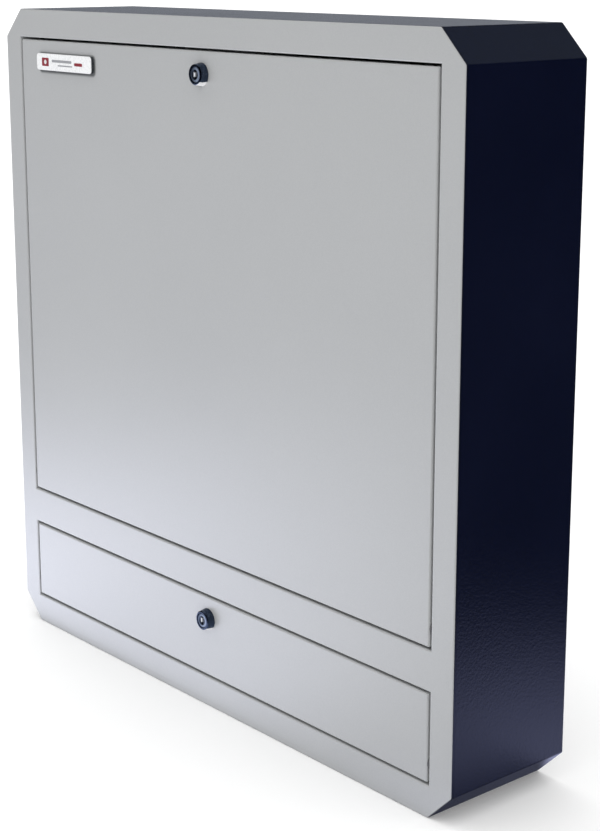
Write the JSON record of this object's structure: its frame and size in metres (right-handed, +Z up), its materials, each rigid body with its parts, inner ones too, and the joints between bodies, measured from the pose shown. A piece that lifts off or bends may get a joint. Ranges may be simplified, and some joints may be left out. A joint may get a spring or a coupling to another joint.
{
  "type": "lockable wall cabinet",
  "caption": "Shallow steel wall cabinet with cut corners, a tall and a low fold-down door with key cam locks, a dividing shelf and cable openings.",
  "frame": {"origin": "middle of the flat base, on the floor", "axes": "+Z up, the doors face -Y, the wall side is +Y, +X to the right seen from the front"},
  "size_m": [0.56, 0.1245, 0.56],
  "materials": {
    "black_rubber": "matt black rubber",
    "brass": "plain brass",
    "dark_inner_paint": "satin dark blue-grey powder coat",
    "dark_wrap_paint": "gloss dark blue-grey powder coat",
    "grey_nylon": "dark grey nylon",
    "lock_chrome": "turned and plated",
    "name_plate_plastic": "white raised plate with dark edge",
    "silver_front_paint": "satin light silver-grey powder coat",
    "silver_inner_paint": "satin light silver-grey powder coat",
    "smoked_chrome": "smoked chrome",
    "spring_steel": "blackened spring steel",
    "zinc_plated_steel": "bright zinc plate"
  },
  "bodies": {
    "cabinet": {"back_plate": "dark_inner_paint", "body_shell": "dark_wrap_paint", "divider_shelf": "dark_inner_paint", "earth_nut": "brass", "earth_stud": "brass", "earth_washer": "brass", "front_frame": "silver_front_paint", "lower_back_grommet": "black_rubber", "shelf_grommet": "black_rubber", "shelf_screws": "zinc_plated_steel", "upper_back_grommet": "black_rubber", "wall_pads": "dark_inner_paint", "upper_hinge_pins": "zinc_plated_steel", "upper_hinge_clips": "spring_steel", "upper_stay_studs": "zinc_plated_steel", "upper_keeper": "zinc_plated_steel", "upper_keeper_rivets": "zinc_plated_steel", "upper_buffers": "black_rubber", "lower_hinge_pins": "zinc_plated_steel", "lower_hinge_clips": "spring_steel", "lower_stay_studs": "zinc_plated_steel", "lower_keeper": "zinc_plated_steel", "lower_keeper_rivets": "zinc_plated_steel", "lower_buffers": "black_rubber"},
    "upper_door": {"upper_door_panel": "silver_front_paint", "upper_door_stiffeners": "silver_inner_paint", "upper_hinge_bushes": "grey_nylon", "upper_stay_quadrants": "zinc_plated_steel", "upper_stay_rivets": "zinc_plated_steel", "upper_lock_housing": "smoked_chrome", "upper_lock_washer": "zinc_plated_steel", "upper_lock_nut": "zinc_plated_steel", "name_plate": "name_plate_plastic"},
    "upper_lock": {"upper_lock_rotor": "lock_chrome", "upper_lock_cam": "zinc_plated_steel", "upper_lock_cam_screw": "zinc_plated_steel"},
    "lower_door": {"lower_door_panel": "silver_front_paint", "lower_door_stiffeners": "silver_inner_paint", "lower_hinge_bushes": "grey_nylon", "lower_stay_quadrants": "zinc_plated_steel", "lower_stay_rivets": "zinc_plated_steel", "lower_lock_housing": "smoked_chrome", "lower_lock_washer": "zinc_plated_steel", "lower_lock_nut": "zinc_plated_steel"},
    "lower_lock": {"lower_lock_rotor": "lock_chrome", "lower_lock_cam": "zinc_plated_steel", "lower_lock_cam_screw": "zinc_plated_steel"}
  },
  "joints": [
    {"name": "upper_door_hinge", "type": "hinge", "parent": "cabinet", "child": "upper_door", "pos_m": [0, -0.0525, 0.1443], "axis": [1, 0, 0], "range_deg": [0, 90]},
    {"name": "lower_door_hinge", "type": "hinge", "parent": "cabinet", "child": "lower_door", "pos_m": [0, -0.0525, 0.0414], "axis": [1, 0, 0], "range_deg": [0, 90]},
    {"name": "upper_lock_turn", "type": "hinge", "parent": "upper_door", "child": "upper_lock", "pos_m": [0, -0.059, 0.5166], "axis": [0, 1, 0], "range_deg": [0, 90]},
    {"name": "lower_lock_turn", "type": "hinge", "parent": "lower_door", "child": "lower_lock", "pos_m": [0, -0.059, 0.0766], "axis": [0, 1, 0], "range_deg": [0, 90]}
  ]
}
